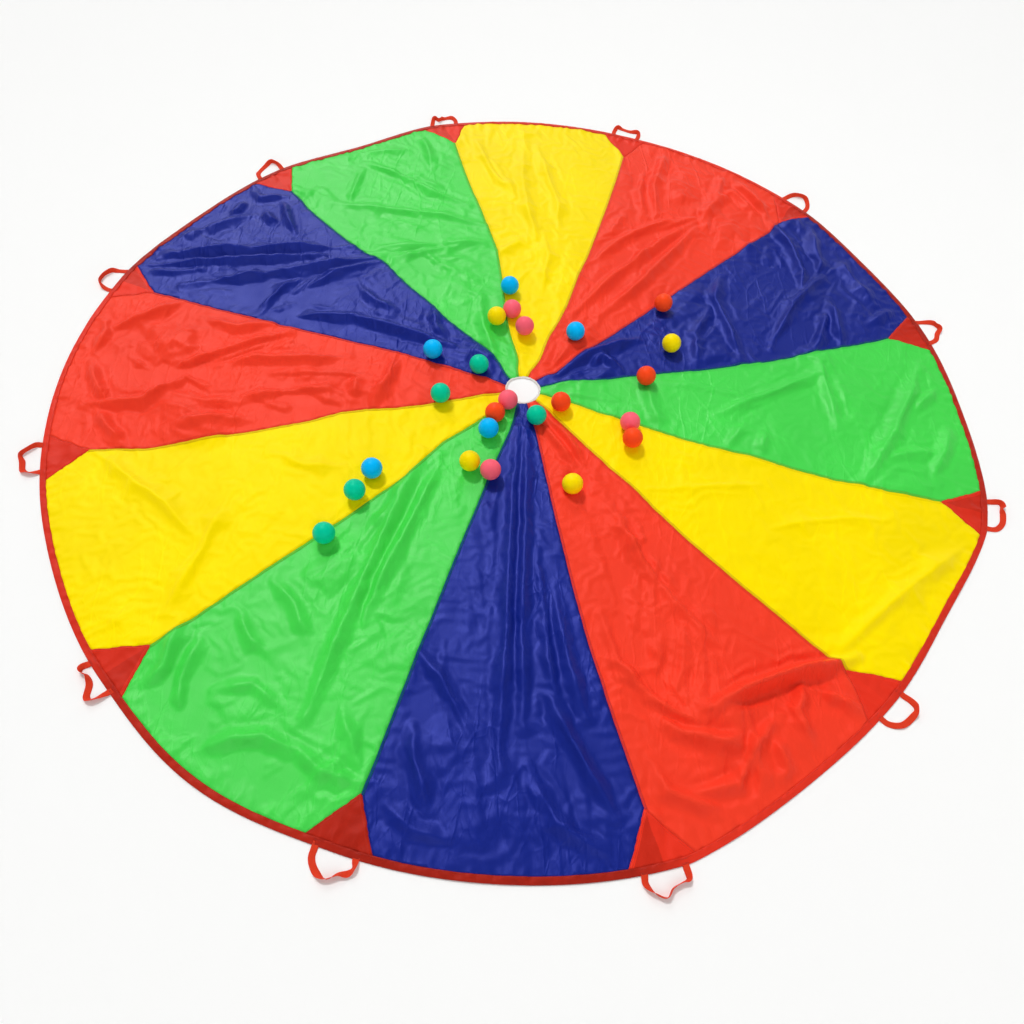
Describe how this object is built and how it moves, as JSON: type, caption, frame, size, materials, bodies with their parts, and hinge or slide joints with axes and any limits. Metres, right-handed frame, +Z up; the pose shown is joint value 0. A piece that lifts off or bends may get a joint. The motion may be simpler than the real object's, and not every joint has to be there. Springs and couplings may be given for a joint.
{
  "type": "play parachute",
  "caption": "Round play parachute laid flat: coloured cloth gores sewn round an open vent, hemmed rim with corner patches, webbing hand loops and loose play balls on top.",
  "frame": {"origin": "middle of the vent, on the floor that the canopy lies on", "axes": "+Z up from the floor; -Y towards the front blue gore; +X to the right of someone who faces the canopy from the front"},
  "size_m": [3.5152, 3.5152, 0.0884],
  "materials": {
    "blue_cloth": "thin woven polyester, calendered sheen",
    "green_cloth": "thin woven polyester, calendered sheen",
    "yellow_cloth": "thin woven polyester, calendered sheen",
    "red_cloth": "thin woven polyester, calendered sheen",
    "trim_cloth": "doubled woven polyester, stitched",
    "webbing": "woven polyester webbing",
    "binding_tape": "woven binding tape",
    "blue_ball": "satin moulded polyethylene",
    "pink_ball": "satin moulded polyethylene",
    "yellow_ball": "satin moulded polyethylene",
    "red_ball": "satin moulded polyethylene",
    "green_ball": "satin moulded polyethylene"
  },
  "bodies": {
    "canopy": {"gore_01_blue": "blue_cloth", "gore_02_green": "green_cloth", "gore_03_yellow": "yellow_cloth", "gore_04_red": "red_cloth", "gore_05_blue": "blue_cloth", "gore_06_green": "green_cloth", "gore_07_yellow": "yellow_cloth", "gore_08_red": "red_cloth", "gore_09_blue": "blue_cloth", "gore_10_green": "green_cloth", "gore_11_yellow": "yellow_cloth", "gore_12_red": "red_cloth", "vent_binding": "binding_tape"},
    "rim": {"rim_hem_and_patches": "trim_cloth"},
    "handle_01": {"handle_01": "webbing"},
    "handle_02": {"handle_02": "webbing"},
    "handle_03": {"handle_03": "webbing"},
    "handle_04": {"handle_04": "webbing"},
    "handle_05": {"handle_05": "webbing"},
    "handle_06": {"handle_06": "webbing"},
    "handle_07": {"handle_07": "webbing"},
    "handle_08": {"handle_08": "webbing"},
    "handle_09": {"handle_09": "webbing"},
    "handle_10": {"handle_10": "webbing"},
    "handle_11": {"handle_11": "webbing"},
    "handle_12": {"handle_12": "webbing"},
    "ball_01": {"ball_01_blue": "blue_ball"},
    "ball_02": {"ball_02_pink": "pink_ball"},
    "ball_03": {"ball_03_yellow": "yellow_ball"},
    "ball_04": {"ball_04_pink": "pink_ball"},
    "ball_05": {"ball_05_blue": "blue_ball"},
    "ball_06": {"ball_06_red": "red_ball"},
    "ball_07": {"ball_07_yellow": "yellow_ball"},
    "ball_08": {"ball_08_red": "red_ball"},
    "ball_09": {"ball_09_blue": "blue_ball"},
    "ball_10": {"ball_10_green": "green_ball"},
    "ball_11": {"ball_11_green": "green_ball"},
    "ball_12": {"ball_12_pink": "pink_ball"},
    "ball_13": {"ball_13_red": "red_ball"},
    "ball_14": {"ball_14_green": "green_ball"},
    "ball_15": {"ball_15_red": "red_ball"},
    "ball_16": {"ball_16_blue": "blue_ball"},
    "ball_17": {"ball_17_pink": "pink_ball"},
    "ball_18": {"ball_18_red": "red_ball"},
    "ball_19": {"ball_19_yellow": "yellow_ball"},
    "ball_20": {"ball_20_pink": "pink_ball"},
    "ball_21": {"ball_21_yellow": "yellow_ball"},
    "ball_22": {"ball_22_blue": "blue_ball"},
    "ball_23": {"ball_23_green": "green_ball"},
    "ball_24": {"ball_24_green": "green_ball"}
  },
  "joints": [
    {"name": "rim_lift", "type": "slide", "parent": "canopy", "child": "rim", "axis": [0, 0, 1], "range_m": [0, 0.2], "deforming": ["gore_01_blue", "gore_02_green", "gore_03_yellow", "gore_04_red", "gore_05_blue", "gore_06_green", "gore_07_yellow", "gore_08_red", "gore_09_blue", "gore_10_green", "gore_11_yellow", "gore_12_red"]},
    {"name": "handle_01_flip", "type": "hinge", "parent": "rim", "child": "handle_01", "pos_m": [-0.45297, -1.69051, 0.002], "axis": [-0.9659, 0.2588, 0], "range_deg": [0, 150]},
    {"name": "handle_02_flip", "type": "hinge", "parent": "rim", "child": "handle_02", "pos_m": [-1.23754, -1.23754, 0.002], "axis": [-0.7071, 0.7071, 0], "range_deg": [0, 150]},
    {"name": "handle_03_flip", "type": "hinge", "parent": "rim", "child": "handle_03", "pos_m": [-1.69051, -0.45297, 0.002], "axis": [-0.2588, 0.9659, 0], "range_deg": [0, 150]},
    {"name": "handle_04_flip", "type": "hinge", "parent": "rim", "child": "handle_04", "pos_m": [-1.69051, 0.45297, 0.002], "axis": [0.2588, 0.9659, 0], "range_deg": [0, 150]},
    {"name": "handle_05_flip", "type": "hinge", "parent": "rim", "child": "handle_05", "pos_m": [-1.21774, 1.21774, 0.002], "axis": [0.7071, 0.7071, 0], "range_deg": [0, 150]},
    {"name": "handle_06_flip", "type": "hinge", "parent": "rim", "child": "handle_06", "pos_m": [-0.45297, 1.69051, 0.002], "axis": [0.9659, 0.2588, 0], "range_deg": [0, 150]},
    {"name": "handle_07_flip", "type": "hinge", "parent": "rim", "child": "handle_07", "pos_m": [0.45297, 1.69051, 0.002], "axis": [0.9659, -0.2588, 0], "range_deg": [0, 150]},
    {"name": "handle_08_flip", "type": "hinge", "parent": "rim", "child": "handle_08", "pos_m": [1.23754, 1.23754, 0.002], "axis": [0.7071, -0.7071, 0], "range_deg": [0, 150]},
    {"name": "handle_09_flip", "type": "hinge", "parent": "rim", "child": "handle_09", "pos_m": [1.66926, 0.44728, 0.002], "axis": [0.2588, -0.9659, 0], "range_deg": [0, 150]},
    {"name": "handle_10_flip", "type": "hinge", "parent": "rim", "child": "handle_10", "pos_m": [1.69051, -0.45297, 0.002], "axis": [-0.2588, -0.9659, 0], "range_deg": [0, 150]},
    {"name": "handle_11_flip", "type": "hinge", "parent": "rim", "child": "handle_11", "pos_m": [1.18663, -1.18663, 0.002], "axis": [-0.7071, -0.7071, 0], "range_deg": [0, 150]},
    {"name": "handle_12_flip", "type": "hinge", "parent": "rim", "child": "handle_12", "pos_m": [0.45297, -1.69051, 0.002], "axis": [-0.9659, -0.2588, 0], "range_deg": [0, 150]},
    {"name": "ball_01_lift", "type": "slide", "parent": "canopy", "child": "ball_01", "axis": [0, 0, 1], "range_m": [0, 0.3]},
    {"name": "ball_02_lift", "type": "slide", "parent": "canopy", "child": "ball_02", "axis": [0, 0, 1], "range_m": [0, 0.3]},
    {"name": "ball_03_lift", "type": "slide", "parent": "canopy", "child": "ball_03", "axis": [0, 0, 1], "range_m": [0, 0.3]},
    {"name": "ball_04_lift", "type": "slide", "parent": "canopy", "child": "ball_04", "axis": [0, 0, 1], "range_m": [0, 0.3]},
    {"name": "ball_05_lift", "type": "slide", "parent": "canopy", "child": "ball_05", "axis": [0, 0, 1], "range_m": [0, 0.3]},
    {"name": "ball_06_lift", "type": "slide", "parent": "canopy", "child": "ball_06", "axis": [0, 0, 1], "range_m": [0, 0.3]},
    {"name": "ball_07_lift", "type": "slide", "parent": "canopy", "child": "ball_07", "axis": [0, 0, 1], "range_m": [0, 0.3]},
    {"name": "ball_08_lift", "type": "slide", "parent": "canopy", "child": "ball_08", "axis": [0, 0, 1], "range_m": [0, 0.3]},
    {"name": "ball_09_lift", "type": "slide", "parent": "canopy", "child": "ball_09", "axis": [0, 0, 1], "range_m": [0, 0.3]},
    {"name": "ball_10_lift", "type": "slide", "parent": "canopy", "child": "ball_10", "axis": [0, 0, 1], "range_m": [0, 0.3]},
    {"name": "ball_11_lift", "type": "slide", "parent": "canopy", "child": "ball_11", "axis": [0, 0, 1], "range_m": [0, 0.3]},
    {"name": "ball_12_lift", "type": "slide", "parent": "canopy", "child": "ball_12", "axis": [0, 0, 1], "range_m": [0, 0.3]},
    {"name": "ball_13_lift", "type": "slide", "parent": "canopy", "child": "ball_13", "axis": [0, 0, 1], "range_m": [0, 0.3]},
    {"name": "ball_14_lift", "type": "slide", "parent": "canopy", "child": "ball_14", "axis": [0, 0, 1], "range_m": [0, 0.3]},
    {"name": "ball_15_lift", "type": "slide", "parent": "canopy", "child": "ball_15", "axis": [0, 0, 1], "range_m": [0, 0.3]},
    {"name": "ball_16_lift", "type": "slide", "parent": "canopy", "child": "ball_16", "axis": [0, 0, 1], "range_m": [0, 0.3]},
    {"name": "ball_17_lift", "type": "slide", "parent": "canopy", "child": "ball_17", "axis": [0, 0, 1], "range_m": [0, 0.3]},
    {"name": "ball_18_lift", "type": "slide", "parent": "canopy", "child": "ball_18", "axis": [0, 0, 1], "range_m": [0, 0.3]},
    {"name": "ball_19_lift", "type": "slide", "parent": "canopy", "child": "ball_19", "axis": [0, 0, 1], "range_m": [0, 0.3]},
    {"name": "ball_20_lift", "type": "slide", "parent": "canopy", "child": "ball_20", "axis": [0, 0, 1], "range_m": [0, 0.3]},
    {"name": "ball_21_lift", "type": "slide", "parent": "canopy", "child": "ball_21", "axis": [0, 0, 1], "range_m": [0, 0.3]},
    {"name": "ball_22_lift", "type": "slide", "parent": "canopy", "child": "ball_22", "axis": [0, 0, 1], "range_m": [0, 0.3]},
    {"name": "ball_23_lift", "type": "slide", "parent": "canopy", "child": "ball_23", "axis": [0, 0, 1], "range_m": [0, 0.3]},
    {"name": "ball_24_lift", "type": "slide", "parent": "canopy", "child": "ball_24", "axis": [0, 0, 1], "range_m": [0, 0.3]}
  ]
}
